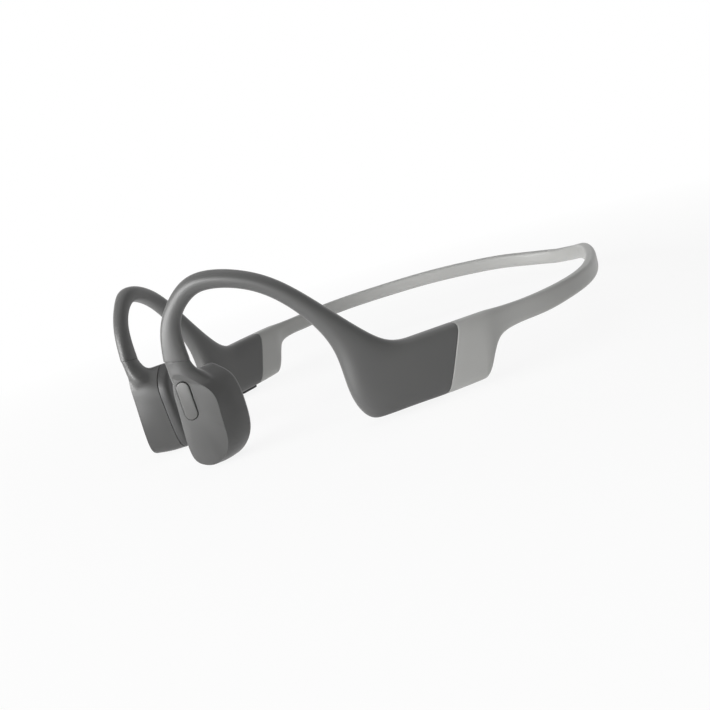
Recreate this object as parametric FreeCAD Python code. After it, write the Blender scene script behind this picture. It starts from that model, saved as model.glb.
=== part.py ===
import FreeCAD, Part
import os
from math import cos, sin, radians, pi, hypot, tan

# Bone conduction headphones, in millimetres. +Z is up, the wearer faces -Y and the wearer's left is +X.
# Each side hangs on a vertical sheet that bends in plan. A place on it is (s, z): s is the distance along
# the plan curve from the front of the left ear hook, and z the height above the surface it stands on.

Vec = FreeCAD.Vector

# ---- plan of the headset, from the front of the left ear hook to the middle of the neckband
PLAN = [(16.5, -76.5), (28.6, -63.1), (46.0, -42.3), (54.9, -24.5), (62.3, -4.9), (67.5, 12.0),
        (68.8, 36.4), (57.2, 61.2), (36.6, 85.0), (15.8, 103.0)]
BAND_REAR_Y = 108.6

# ---- housings
HOUSING_BOTTOM = 1.25
HOUSING_HEIGHT = 19.05
HOUSING_FRONT_S = 49.8
HOUSING_LENGTH = 40.5
HOUSING_HALF = 4.3
HOUSING_LEAN = 8.8
REST_DEPTH = 0.15
COVER_LENGTH = 26.4
COVER_WALL = 0.9
FRAME_WALL = 1.0

# ---- ear hooks
HOOK_HEIGHT = 52.45
TUBE_HEIGHT = 5.7
TUBE_HALF = 3.1
RING_HEIGHT = 7.7
RING_HALF = 2.75
FRONT_HALF = 2.75

# ---- neckband
BAND_HEIGHT = 6.0
BAND_HALF = 1.9
NOTCH_Z = 13.0
# height of the band's middle, each with its share of the whole plan
BAND_LINE = [(0.27, 17.05), (0.33, 17.5), (0.375, 17.9), (0.42, 17.15), (0.46, 15.5), (0.5, 13.5)]

# ---- wires and cables, one above the other in every tube
WIRE_RADIUS = 0.55
CABLE_RADIUS = 0.75
WIRE_OFFSET = 1.15
CABLE_OFFSET = -1.15

# ---- transducer heads: t runs backwards, n outwards, from the end of the ear hook's tube
HEAD_YAW = 43.0
RING_S = 4.6
RING_Z = 32.85
FACET_OUT = 1.0
SEAM_OUT = -7.4
PAD_OUT = -10.6
SHELL_WALL = 1.0
FACET = [(-1.0, 27.8), (2.7, 26.1), (6.1, 23.3), (7.9, 19.5), (7.7, 13.5), (7.4, 7.6), (5.6, 3.7),
         (2.0, 1.8), (-1.6, 3.0), (-4.3, 6.6), (-4.4, 13.5), (-3.9, 20.2), (-3.5, 25.4)]
PAD = [(4.6, 28.9), (8.0, 27.8), (11.0, 24.8), (12.8, 20.3), (13.1, 15.0), (12.6, 8.6), (10.6, 3.7),
       (7.0, 0.9), (3.6, 0.0), (0.4, 2.6), (-1.4, 8.5), (-2.4, 16.0), (-1.6, 24.2)]

# ---- the neck between tube and head, each ring as (t, n, drop from the tube's end, half width, half depth)
NECK = [(0.1, -0.3, 1.6, 3.9, 2.75), (0.2, -0.7, 3.2, 4.0, 2.8), (0.6, -1.3, 4.8, 4.4, 3.0),
        (1.0, -2.0, 6.4, 4.9, 3.1), (1.8, -3.2, 9.8, 4.6, 3.0)]
WIRE_END = (1.8, -4.2, 25.2)

# ---- transducers, on an axis along n
MOTOR_T = 4.6
MOTOR_Z = 12.0
MOTOR_RADIUS = 4.9
MOTOR_GAP = 0.3
MOTOR_DEPTH = 4.6
PLATE_DEPTH = 0.7
RING_WALL = 0.3
YOKE_WALL = 0.3
COIL_WALL = 0.5
MAGNET_DEPTH = 1.6
SPRING_DEPTH = 0.2

# ---- keys
BUTTON_T = -0.6
BUTTON_Z = 21.0
BUTTON_LENGTH = 11.4
BUTTON_HALF = 1.95
BUTTON_PROUD = 0.4
BUTTON_GAP = 0.2
KEY_TRAVEL_GAP = 0.35
VOLUME_LENGTH = 8.0
VOLUME_HALF = 1.5
VOLUME_PROUD = 0.85
VOLUME_SEAM_GAP = 1.2
VOLUME_KEY_GAP = 0.8

# ---- inside the housings
BATTERY_FRONT_GAP = 17.1
BATTERY_REAR_GAP = 2.1
BATTERY_HEIGHT = 10.4
BATTERY_THICKNESS = 3.4
BATTERY_LIFT = 1.1
BATTERY_OUT = -0.15
BOARD_FRONT_GAP = 10.1
BOARD_REAR_GAP = 2.4
BOARD_SLANT = 6.2
BOARD_HEIGHT = 9.6
BOARD_THICKNESS = 0.8
BOARD_OUT = 0.85
CONTACT_SEAM_GAP = 6.9
CONTACT_Z = 9.5
CONTACT_RADIUS = 1.0
CONTACT_SPACING = 5.0
MAGNET_RADIUS = 1.5
MAGNET_SPACING = 12.4
RECESS_DEPTH = 0.5

HOUSING_TOP = HOUSING_BOTTOM + HOUSING_HEIGHT
HOUSING_REAR_S = HOUSING_FRONT_S + HOUSING_LENGTH
SEAM_S = HOUSING_FRONT_S + COVER_LENGTH
HOUSING_MIDDLE_S = HOUSING_FRONT_S + 0.6 * HOUSING_LENGTH
VOLUME_DOWN_S = SEAM_S - VOLUME_SEAM_GAP - VOLUME_LENGTH / 2
VOLUME_UP_S = VOLUME_DOWN_S - VOLUME_LENGTH - VOLUME_KEY_GAP
CONTACT_S = SEAM_S - CONTACT_SEAM_GAP
CABLE_Z = (HOUSING_TOP + NOTCH_Z) / 2 - 0.1


def natural_cubic(params, rows):
    """A smooth curve through rows of numbers, one row at each parameter."""
    n = len(rows)
    h = [params[i + 1] - params[i] for i in range(n - 1)]
    bends = []
    for k in range(len(rows[0])):
        y = [row[k] for row in rows]
        main = [1.0] + [2 * (h[i - 1] + h[i]) for i in range(1, n - 1)] + [1.0]
        load = [0.0] * n
        for i in range(1, n - 1):
            load[i] = 6 * ((y[i + 1] - y[i]) / h[i] - (y[i] - y[i - 1]) / h[i - 1])
        for i in range(2, n - 1):
            share = h[i - 1] / main[i - 1]
            main[i] -= share * h[i - 1]
            load[i] -= share * load[i - 1]
        bend = [0.0] * n
        for i in range(n - 2, 0, -1):
            bend[i] = (load[i] - (h[i] * bend[i + 1] if i < n - 2 else 0)) / main[i]
        bends.append(bend)

    def at(u):
        i = max(j for j in range(n - 1) if params[j] <= u or j == 0)
        a, b = params[i + 1] - u, u - params[i]
        out = []
        for k, bend in enumerate(bends):
            low, high = rows[i][k], rows[i + 1][k]
            out.append((bend[i] * a ** 3 + bend[i + 1] * b ** 3) / (6 * h[i])
                       + (low / h[i] - bend[i] * h[i] / 6) * a
                       + (high / h[i] - bend[i + 1] * h[i] / 6) * b)
        return out
    return at


def measured_plan():
    """The plan curve of both sides as a list of (distance, x, y)."""
    left = PLAN + [(0.0, BAND_REAR_Y)]
    points = left + [(-x, y) for x, y in reversed(PLAN)]
    params = [0.0]
    for (x0, y0), (x1, y1) in zip(points, points[1:]):
        params.append(params[-1] + hypot(x1 - x0, y1 - y0))
    curve = natural_cubic(params, points)
    steps = 1500
    rows = []
    walked = 0.0
    for i in range(steps + 1):
        x, y = curve(params[-1] * i / steps)
        if rows:
            walked += hypot(x - rows[-1][1], y - rows[-1][2])
        rows.append((walked, x, y))
    return rows


ROUTE = measured_plan()
LENGTH = ROUTE[-1][0]


def on_plan(s):
    """Plan place and direction at the distance s."""
    place = max(0.0, min(1.0, s / LENGTH)) * (len(ROUTE) - 1)
    i = min(int(place), len(ROUTE) - 2)
    (_, x0, y0), (_, x1, y1) = ROUTE[i], ROUTE[i + 1]
    share = place - i
    run = hypot(x1 - x0, y1 - y0)
    return x0 + (x1 - x0) * share, y0 + (y1 - y0) * share, (x1 - x0) / run, (y1 - y0) / run


def sheet(s, z, out=0.0):
    """The point at (s, z), moved outwards from the sheet."""
    x, y, dx, dy = on_plan(s)
    return Vec(x + dy * out, y - dx * out, z)


def section(top, low, half, square, inset=0.0):
    """Centre, major and minor half axes and squareness of the section between two places."""
    a, b = sheet(*top), sheet(*low)
    _, _, dx, dy = on_plan((top[0] + low[0]) / 2)
    major = (a - b) * 0.5
    unit = Vec(major).normalize()
    minor = Vec(dy, -dx, 0)
    minor = (minor - unit * minor.dot(unit)).normalize()
    return (a + b) * 0.5, major - unit * inset, minor * (half - inset), square


def outline(centre, major, minor, square, count=24):
    """A closed curve between an ellipse (square 2) and a rectangle (square above 4)."""
    points = []
    for i in range(count):
        c, s = cos(2 * pi * i / count), sin(2 * pi * i / count)
        share = (abs(c) ** square + abs(s) ** square) ** (-1 / square)
        points.append(centre + major * (c * share) + minor * (s * share))
    return smooth_loop(points)


def smooth_loop(points):
    curve = Part.BSplineCurve()
    evenly = [i / len(points) for i in range(len(points) + 1)]
    curve.interpolate(Points=points, PeriodicFlag=True, Parameters=evenly)
    return Part.Wire([curve.toShape()])


def loft(wires):
    """A solid skinned straight from each closed curve to the next."""
    faces = [Part.Face(wires[0]), Part.Face(wires[-1])]
    for a, b in zip(wires, wires[1:]):
        faces.append(Part.makeRuledSurface(a.Edges[0], b.Edges[0]))
    skin = Part.makeShell(faces)
    skin.sewShape()
    body = Part.makeSolid(skin)
    if body.Volume < 0:
        body.reverse()
    return body


def tube(points, radius):
    """A round tube along straight runs joined by the largest even arcs."""
    edges = []
    start = points[0]
    for before, corner, after in zip(points, points[1:], points[2:]):
        run_in, run_out = corner - before, after - corner
        reach = 0.45 * min(run_in.Length, run_out.Length)
        enter = corner - Vec(run_in).normalize() * reach
        leave = corner + Vec(run_out).normalize() * reach
        turn = run_in.getAngle(run_out)
        if turn < 0.002:
            continue
        middle = (enter + leave) * 0.5
        inward = Vec(middle - corner).normalize()
        arc_radius = reach / tan(turn / 2)
        top = corner + inward * (arc_radius / cos(turn / 2) - arc_radius)
        edges.append(Part.LineSegment(start, enter).toShape())
        edges.append(Part.Arc(enter, top, leave).toShape())
        start = leave
    edges.append(Part.LineSegment(start, points[-1]).toShape())
    ring = Part.Wire([Part.makeCircle(radius, points[0], points[1] - points[0])])
    return Part.Wire(edges).makePipeShell([ring], True, False)


def mirrored(shape):
    return shape.mirror(Vec(0, 0, 0), Vec(1, 0, 0))


# ---- the sections of one side, as ((s, z) above, (s, z) below, half thickness, squareness)
def arch(s, z, tilt, height, half):
    """A section of the ear hook's tube, at right angles to its centre line."""
    ds, dz = cos(radians(tilt)) * height / 2, sin(radians(tilt)) * height / 2
    return (s + ds, z + dz), (s - ds, z - dz), half, 2.2


def hook_sections():
    top, low, front = HOUSING_TOP, HOUSING_BOTTOM, HOUSING_FRONT_S
    apex = HOOK_HEIGHT
    lean = HOUSING_LEAN
    return [
        arch(RING_S, RING_Z, 170, RING_HEIGHT, RING_HALF),
        arch(6.3, apex - 9.3, 163, TUBE_HEIGHT + 0.3, FRONT_HALF),
        arch(12.2, apex - 2.2, 128, TUBE_HEIGHT - 0.2, FRONT_HALF + 0.1),
        arch(20.6, apex, 91, TUBE_HEIGHT, TUBE_HALF),
        arch(33.9, apex - 4.6, 52, TUBE_HEIGHT - 0.3, TUBE_HALF),
        arch(44.9, apex - 14.8, 30, TUBE_HEIGHT + 0.3, TUBE_HALF + 0.1),
        ((front + 7.9, top + 6.8), (front - 1.2, low + 22.4), HOUSING_HALF - 0.6, 2.4),
        ((front + 14.2, top + 1.4), (front - 0.3, low + 9.5), HOUSING_HALF - 0.1, 2.9),
        ((front + 18.7, top + 0.1), (front + 3.2, low + 0.8), HOUSING_HALF, 3.4),
        ((front + 23.7, top), (front + 11.7, low), HOUSING_HALF, 3.8),
        ((SEAM_S + lean, top), (SEAM_S, low), HOUSING_HALF, 4.0),
    ]


def rear_sections():
    """From the seam between dark and light covers to the band behind the notch."""
    top, low, rear = HOUSING_TOP, HOUSING_BOTTOM, HOUSING_REAR_S
    floor = NOTCH_Z
    return [
        ((SEAM_S + HOUSING_LEAN, top), (SEAM_S, low), HOUSING_HALF, 4.0),
        ((rear - 0.2, top), (rear - 4.6, low), HOUSING_HALF - 0.1, 4.0),
        ((rear + 2.3, top), (rear - 0.5, low + 0.9), HOUSING_HALF - 0.3, 3.8),
        ((rear + 4.7, top), (rear + 2.3, low + 5.1), HOUSING_HALF - 0.8, 3.5),
        ((rear + 7.2, top - 0.2), (rear + 4.9, floor - 2.4), HOUSING_HALF - 1.5, 3.2),
        ((rear + 10.7, top - 0.5), (rear + 9.2, floor), BAND_HALF + 0.2, 3.0),
    ]


def stations(knots, first, last, count):
    """Evenly spaced sections between two knots of a side."""
    rows = [(t[0], t[1], b[0], b[1], half, square) for t, b, half, square in knots]
    curve = natural_cubic(list(range(len(rows))), rows)
    out = []
    for i in range(count):
        r = curve(first + (last - first) * i / (count - 1))
        out.append(((r[0], r[1]), (r[2], r[3]), r[4], r[5]))
    return out


def band_heights():
    """The height of the band's middle at a distance along the plan."""
    start = HOUSING_REAR_S + 22.0
    line = [(start - 12.0, CABLE_Z), (start, CABLE_Z)] + [(LENGTH * share, z) for share, z in BAND_LINE]
    line += [(LENGTH - s, z) for s, z in reversed(line[:-1])]
    curve = natural_cubic([s for s, _ in line], [(z,) for _, z in line])
    return lambda s: curve(s)[0]


def band_sections(count):
    """The band from behind one notch to behind the other."""
    start = HOUSING_REAR_S + 22.0
    height_at = band_heights()
    out = []
    for i in range(count):
        s = start + (LENGTH - 2 * start) * i / (count - 1)
        z = height_at(s)
        out.append(((s, z + BAND_HEIGHT / 2), (s, z - BAND_HEIGHT / 2), BAND_HALF, 3.0))
    return out


def opposite(knots):
    """The same sections on the right side, in the order of travel."""
    return [((LENGTH - t[0], t[1]), (LENGTH - b[0], b[1]), half, square)
            for t, b, half, square in reversed(knots)]


HOOK = hook_sections()
REAR = rear_sections()
WHOLE = HOOK + REAR[1:]


def solid_through(sections, inset=0.0):
    return loft([outline(*section(*row, inset=inset)) for row in sections])


# ---- routes of wires and cables
def centre_route(sections, offset):
    """Points along the middles of sections, moved along each section's long axis."""
    points = []
    for row in sections:
        centre, major, _, _ = section(*row)
        points.append(centre + Vec(major).normalize() * offset)
    return points


def hook_route(offset):
    """From inside the head, round the ear and into the housing."""
    head_end = head_place(*WIRE_END) - head_direction(0.8 * offset, 0)
    return [head_end] + centre_route(stations(HOOK, 0.15, 6.3, 9), offset)


def band_route(offset, inside):
    """From one housing, round the back of the neck and into the other."""
    start = HOUSING_REAR_S + 7.0
    z = CABLE_Z + offset
    left = [sheet(start - inside, z), sheet(start, z)]
    right = [sheet(LENGTH - start, z), sheet(LENGTH - start + inside, z)]
    return left + centre_route(band_sections(29), offset) + right


# ---- the transducer head
def head_direction(t, n):
    yaw = radians(HEAD_YAW)
    return Vec(sin(yaw) * t + cos(yaw) * n, cos(yaw) * t - sin(yaw) * n, 0)


def head_place(t, n, z):
    origin = sheet(RING_S, 0)
    return origin + head_direction(t, n) + Vec(0, 0, z)


def inset_points(points, amount):
    """An outline's points, each moved towards the outline's middle."""
    ct = sum(p[0] for p in points) / len(points)
    cz = sum(p[1] for p in points) / len(points)
    out = []
    for t, z in points:
        reach = hypot(t - ct, z - cz)
        share = 1 - amount / reach
        out.append((ct + (t - ct) * share, cz + (z - cz) * share))
    return out


def head_loop(points, n):
    return smooth_loop([head_place(t, n, z) for t, z in points])


def between(n):
    """The head's outline at depth n, bowed a little outwards between pad seam and facet."""
    share = (n - SEAM_OUT) / (FACET_OUT - SEAM_OUT)
    bow = 0.8 * share * (1 - share) * 4 * 0.5
    out = []
    for (pt, pz), (ft, fz) in zip(PAD, FACET):
        out.append((pt + (ft - pt) * share, pz + (fz - pz) * share))
    return inset_points(out, -bow)


def head_body(inset, n_low, n_high):
    depths = [n_low + (n_high - n_low) * i / 6 for i in range(7)]
    return loft([head_loop(inset_points(between(n), inset), n) for n in depths])


def head_disc(radius, n_low, n_high, t=MOTOR_T, z=MOTOR_Z):
    return Part.makeCylinder(radius, n_high - n_low, head_place(t, n_low, z), head_direction(0, 1))


def stadium(length, half, n_low, n_high):
    """A round-ended bar on the button's axis, standing along z."""
    straight = length / 2 - half
    ends = [head_disc(half, n_low, n_high, BUTTON_T, BUTTON_Z + side * straight) for side in (-1, 1)]
    block = head_box(BUTTON_T, BUTTON_Z, 2 * half, 2 * straight, n_low, n_high)
    return block.fuse(ends).removeSplitter()


def head_box(t, z, width, height, n_low, n_high):
    corners = []
    for dt, dz in ((-1, -1), (1, -1), (1, 1), (-1, 1), (-1, -1)):
        corners.append(head_place(t + dt * width / 2, n_low, z + dz * height / 2))
    face = Part.Face(Part.makePolygon(corners))
    return face.extrude(head_direction(0, n_high - n_low))


def housing_place(s, z, out):
    """A place on the straight tangent of the housing, where its flat inner pieces lie."""
    x, y, dx, dy = on_plan(HOUSING_MIDDLE_S)
    run = s - HOUSING_MIDDLE_S
    return Vec(x + dx * run + dy * out, y + dy * run - dx * out, z)


def housing_outward():
    return housing_place(0, 0, 1) - housing_place(0, 0, 0)


def housing_plate(places, out_low, out_high):
    corners = [housing_place(s, z, out_low) for s, z in places + places[:1]]
    return Part.Face(Part.makePolygon(corners)).extrude(housing_outward() * (out_high - out_low))


def housing_box(s, z, length, height, out_low, out_high):
    ds, dz = length / 2, height / 2
    places = [(s - ds, z - dz), (s + ds, z - dz), (s + ds, z + dz), (s - ds, z + dz)]
    return housing_plate(places, out_low, out_high)


def housing_pin(s, z, radius, out_low, out_high):
    return Part.makeCylinder(radius, out_high - out_low, housing_place(s, z, out_low), housing_outward())


def sheet_out(s):
    """How far the curved sheet lies outside the housing's straight tangent."""
    return (sheet(s, 0) - housing_place(s, 0, 0)).dot(housing_outward())


def cavity(inset, first, last, count):
    return solid_through(stations(WHOLE, first, last, count), inset)


# ---- soft covers
def below_rest():
    """Space under the flat faces that the housings stand on."""
    side = 400.0
    return Part.makeBox(side, side, 20.0, Vec(-side / 2, -side / 2, HOUSING_BOTTOM + REST_DEPTH - 20.0))


def make_earhook_cover():
    body = solid_through(stations(WHOLE, 0, 10, 36))
    body = body.cut(cavity(COVER_WALL, 7.7, 12.3, 14))
    return body.cut([HOOK_WIRE, HOOK_CABLE, below_rest()])


def make_neckband_cover():
    left = stations(WHOLE, 10, 15, 15)
    body = solid_through(left + band_sections(33) + opposite(left))
    room = cavity(COVER_WALL, 7.7, 12.3, 14)
    return body.cut([room, mirrored(room), BAND_WIRE, BAND_CABLE, below_rest()])


# ---- rigid half shells inside each housing
def outer_half():
    """Space on the outward side of the middle of the housing."""
    front, rear = sheet(HOUSING_FRONT_S + 6, -10), sheet(HOUSING_REAR_S, -10)
    along = Vec(rear - front).normalize()
    outward = Vec(along.y, -along.x, 0)
    a, b = front - along * 30, rear + along * 30
    lift = Vec(0, 0, 50)
    return Part.Face(Part.makePolygon([a, b, b + lift, a + lift, a])).extrude(outward * 20)


def make_housing_shell():
    shell = cavity(COVER_WALL, 7.7, 12.3, 14).cut(cavity(COVER_WALL + FRAME_WALL, 8.0, 12.0, 13))
    shell = shell.cut([HOOK_WIRE, HOOK_CABLE, BAND_WIRE, BAND_CABLE])
    half = outer_half()
    return shell.common(half), shell.cut(half)


# ---- right housing: keys, board, charging
def volume_key(s):
    low = HOUSING_BOTTOM - VOLUME_PROUD
    shoulder = HOUSING_BOTTOM + COVER_WALL + FRAME_WALL + KEY_TRAVEL_GAP
    cap = housing_block(s, low, shoulder + 0.6, VOLUME_LENGTH, VOLUME_HALF)
    flange = housing_block(s, shoulder, shoulder + 0.6, VOLUME_LENGTH + 0.4, VOLUME_HALF - 0.5)
    cap = cap.makeFillet(0.5, [e for e in cap.Edges if e.BoundBox.ZMax < low + 0.01])
    return cap.fuse(flange).removeSplitter()


def housing_block(s, low, high, length, half):
    out = sheet_out(s)
    return housing_box(s, (low + high) / 2, length, high - low, out - half, out + half)


def key_slot(s):
    low = HOUSING_BOTTOM - 2
    high = HOUSING_BOTTOM + COVER_WALL + FRAME_WALL + KEY_TRAVEL_GAP
    return housing_block(s, low, high, VOLUME_LENGTH + 3 * BUTTON_GAP, VOLUME_HALF + BUTTON_GAP)


SWITCH_LOW = HOUSING_BOTTOM + COVER_WALL + FRAME_WALL + 2 * KEY_TRAVEL_GAP + 0.6
BOARD_LOW = SWITCH_LOW + 0.2
BOARD_HIGH = BOARD_LOW + BOARD_HEIGHT
BOARD_FRONT_S = HOUSING_FRONT_S + BOARD_FRONT_GAP
BOARD_REAR_S = HOUSING_REAR_S - BOARD_REAR_GAP
BOARD_FACE = BOARD_OUT + BOARD_THICKNESS


def make_volume_switches():
    places = (VOLUME_UP_S, VOLUME_DOWN_S)
    return [housing_box(s, SWITCH_LOW + 0.8, 3.5, 1.6, BOARD_OUT - 2.2, BOARD_OUT) for s in places]


def make_main_board():
    places = [(BOARD_FRONT_S, BOARD_LOW), (BOARD_REAR_S, BOARD_LOW), (BOARD_REAR_S, BOARD_HIGH),
              (BOARD_FRONT_S + BOARD_SLANT, BOARD_HIGH)]
    return housing_plate(places, BOARD_OUT, BOARD_FACE)


def make_radio_shield():
    middle = (BOARD_LOW + BOARD_HIGH) / 2
    return housing_box(BOARD_REAR_S - 6.0, middle, 9.0, 7.0, BOARD_OUT - 1.3, BOARD_OUT)


def make_charge_contacts():
    reach = HOUSING_HALF - RECESS_DEPTH
    return [housing_pin(CONTACT_S + side * CONTACT_SPACING / 2, CONTACT_Z, CONTACT_RADIUS, BOARD_FACE, reach)
            for side in (-1, 1)]


def make_charge_magnets():
    low = HOUSING_HALF - COVER_WALL - FRAME_WALL - 0.6
    return [housing_pin(CONTACT_S + side * MAGNET_SPACING / 2, CONTACT_Z, MAGNET_RADIUS, low, low + 1.2)
            for side in (-1, 1)]


def charge_recess():
    """A round-ended dish in the cover, around contacts and magnets."""
    reach = MAGNET_SPACING / 2
    low, high = HOUSING_HALF - RECESS_DEPTH, HOUSING_HALF + 2
    width = 2 * (MAGNET_RADIUS + 0.6)
    ends = [housing_pin(CONTACT_S + side * reach, CONTACT_Z, width / 2, low, high) for side in (-1, 1)]
    return housing_box(CONTACT_S, CONTACT_Z, 2 * reach, width, low, high).fuse(ends)


def make_status_light_window():
    return housing_pin(CONTACT_S, CONTACT_Z + 5.2, 0.6, BOARD_FACE, HOUSING_HALF - 0.15)


# ---- left housing: battery
BATTERY_LENGTH = HOUSING_LENGTH - BATTERY_FRONT_GAP - BATTERY_REAR_GAP
BATTERY_S = HOUSING_REAR_S - BATTERY_REAR_GAP - BATTERY_LENGTH / 2
BATTERY_Z = HOUSING_BOTTOM + COVER_WALL + FRAME_WALL + BATTERY_LIFT + BATTERY_HEIGHT / 2


def make_battery():
    low, high = BATTERY_OUT - BATTERY_THICKNESS / 2, BATTERY_OUT + BATTERY_THICKNESS / 2
    return housing_box(BATTERY_S, BATTERY_Z, BATTERY_LENGTH, BATTERY_HEIGHT, low, high)


def make_protection_board():
    half = BATTERY_THICKNESS / 2 - 0.1
    s = BATTERY_S - BATTERY_LENGTH / 2 - BOARD_THICKNESS / 2
    low, high = BATTERY_OUT - half, BATTERY_OUT + half
    return housing_box(s, BATTERY_Z, BOARD_THICKNESS, BATTERY_HEIGHT - 1.0, low, high)


# ---- transducer heads
def make_neck():
    ring = section(*stations(WHOLE, 0, 1, 2)[0])
    rings = [outline(*ring)]
    for t, n, drop, width, depth in NECK:
        centre = head_place(t, n, RING_Z - drop)
        rings.append(outline(centre, head_direction(-width, 0), head_direction(0, depth), 2.2))
    return loft(rings)


def make_head_shell(with_button):
    body = head_body(0.0, SEAM_OUT, FACET_OUT)
    body = body.fuse(make_neck())
    room = head_body(SHELL_WALL * 1.1, SEAM_OUT - 0.5, FACET_OUT - SHELL_WALL)
    body = body.cut(room)
    if with_button:
        length, half = BUTTON_LENGTH + 2 * BUTTON_GAP, BUTTON_HALF + BUTTON_GAP
        body = body.cut(stadium(length, half, FACET_OUT - 1.7, FACET_OUT + 1))
        posts = [head_disc(0.7, BOARD_N, FACET_OUT - SHELL_WALL / 2, 3.2, z) for z in (15.0, 23.0)]
        body = body.fuse(posts)
        port = Part.makeCylinder(0.4, 4.0, head_place(MIC_T - 4.0, MIC_OUT, MIC_Z), head_direction(1, 0))
        body = body.cut(port)
    return body.cut([HOOK_WIRE, HOOK_CABLE])


def make_contact_pad():
    depths = [(SEAM_OUT, 0.0), (SEAM_OUT - 1.2, 0.1), (PAD_OUT + 0.7, 0.5), (PAD_OUT, 2.2)]
    body = loft([head_loop(inset_points(PAD, inset), n) for n, inset in depths])
    return body.cut(head_disc(MOTOR_RADIUS, POCKET_N, SEAM_OUT + 1))


POCKET_N = SEAM_OUT - 2.0
RING_END_N = POCKET_N + MOTOR_DEPTH
DISC_N = POCKET_N + PLATE_DEPTH
YOKE_RADIUS = MOTOR_RADIUS - RING_WALL - MOTOR_GAP
COIL_OUTER = YOKE_RADIUS - YOKE_WALL - MOTOR_GAP
COIL_INNER = COIL_OUTER - COIL_WALL
POLE_RADIUS = COIL_INNER - MOTOR_GAP
POLE_N = DISC_N + 0.4
MAGNET_N = POLE_N + PLATE_DEPTH
YOKE_N = MAGNET_N + MAGNET_DEPTH


def make_transducer_frame():
    cup = head_disc(MOTOR_RADIUS, POCKET_N, RING_END_N)
    return cup.cut(head_disc(MOTOR_RADIUS - RING_WALL, DISC_N, RING_END_N + 1))


def make_voice_coil():
    ring = head_disc(COIL_OUTER, DISC_N, YOKE_N - 0.5)
    return ring.cut(head_disc(COIL_INNER, DISC_N - 1, YOKE_N + 1))


def make_pole_plate():
    return head_disc(POLE_RADIUS, POLE_N, MAGNET_N)


def make_magnet():
    return head_disc(POLE_RADIUS - 0.1, MAGNET_N, YOKE_N)


def make_yoke():
    cup = head_disc(YOKE_RADIUS, POLE_N, YOKE_N + PLATE_DEPTH)
    cup = cup.cut(head_disc(YOKE_RADIUS - YOKE_WALL, POLE_N - 1, YOKE_N))
    return cup.fuse(head_disc(1.0, YOKE_N, RING_END_N - MOTOR_GAP)).removeSplitter()


def make_vibration_plate():
    """A flat spring: a rim and a hub joined by three arms."""
    plate = head_disc(MOTOR_RADIUS, RING_END_N, RING_END_N + SPRING_DEPTH)
    slots = []
    for turn in range(3):
        slot = Part.makeCylinder(3.6, 1.0, Vec(0, 0, -0.5), Vec(0, 0, 1), 85)
        slot = slot.cut(Part.makeCylinder(2.4, 1.0, Vec(0, 0, -0.5)))
        slot.rotate(Vec(0, 0, 0), Vec(0, 0, 1), 120 * turn)
        slots.append(slot)
    frame = FreeCAD.Placement(head_place(MOTOR_T, RING_END_N, MOTOR_Z),
                              FreeCAD.Rotation(Vec(0, 0, 1), head_direction(0, 1)))
    for slot in slots:
        slot.Placement = frame.multiply(slot.Placement)
    return plate.cut(slots)


# ---- button of the left head
BOARD_N = FACET_OUT - 2.9
MIC_T = -1.6
MIC_OUT = -3.2
MIC_Z = 9.0


def make_button():
    cap = stadium(BUTTON_LENGTH, BUTTON_HALF, FACET_OUT - 1.3, FACET_OUT + BUTTON_PROUD)
    rim = [e for e in cap.Edges if e.BoundBox.DiagonalLength > 0.1 and on_face(e, FACET_OUT + BUTTON_PROUD)]
    cap = cap.makeFillet(0.25, rim)
    low, high = FACET_OUT - 1.8, FACET_OUT - SHELL_WALL - 0.2
    foot = head_box(BUTTON_T + 0.9, BUTTON_Z - 0.9, 3.8, BUTTON_LENGTH - 1.6, low, high)
    return cap.fuse(foot).removeSplitter()


def on_face(edge, n):
    """Whether an edge lies at depth n of the head."""
    origin = head_place(0, 0, 0)
    return all(abs((v.Point - origin).dot(head_direction(0, 1)) - n) < 0.01 for v in edge.Vertexes)


def make_button_switch():
    return head_box(BUTTON_T + 0.3, BUTTON_Z - 0.8, 2.4, 3.0, BOARD_N, FACET_OUT - 1.8 - KEY_TRAVEL_GAP)


def make_button_board():
    return head_box(1.5, 19.6, 4.8, 10.8, BOARD_N - BOARD_THICKNESS, BOARD_N)


def make_microphone():
    return head_box(MIC_T + 0.6, MIC_Z, 1.2, 3.0, MIC_OUT - 1.0, MIC_OUT + 1.0)


HOOK_WIRE = tube(hook_route(WIRE_OFFSET), WIRE_RADIUS)
HOOK_CABLE = tube(hook_route(CABLE_OFFSET), CABLE_RADIUS)
BAND_WIRE = tube(band_route(WIRE_OFFSET, 5.0), WIRE_RADIUS)
BAND_CABLE = tube(band_route(CABLE_OFFSET, 7.5), CABLE_RADIUS)


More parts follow.
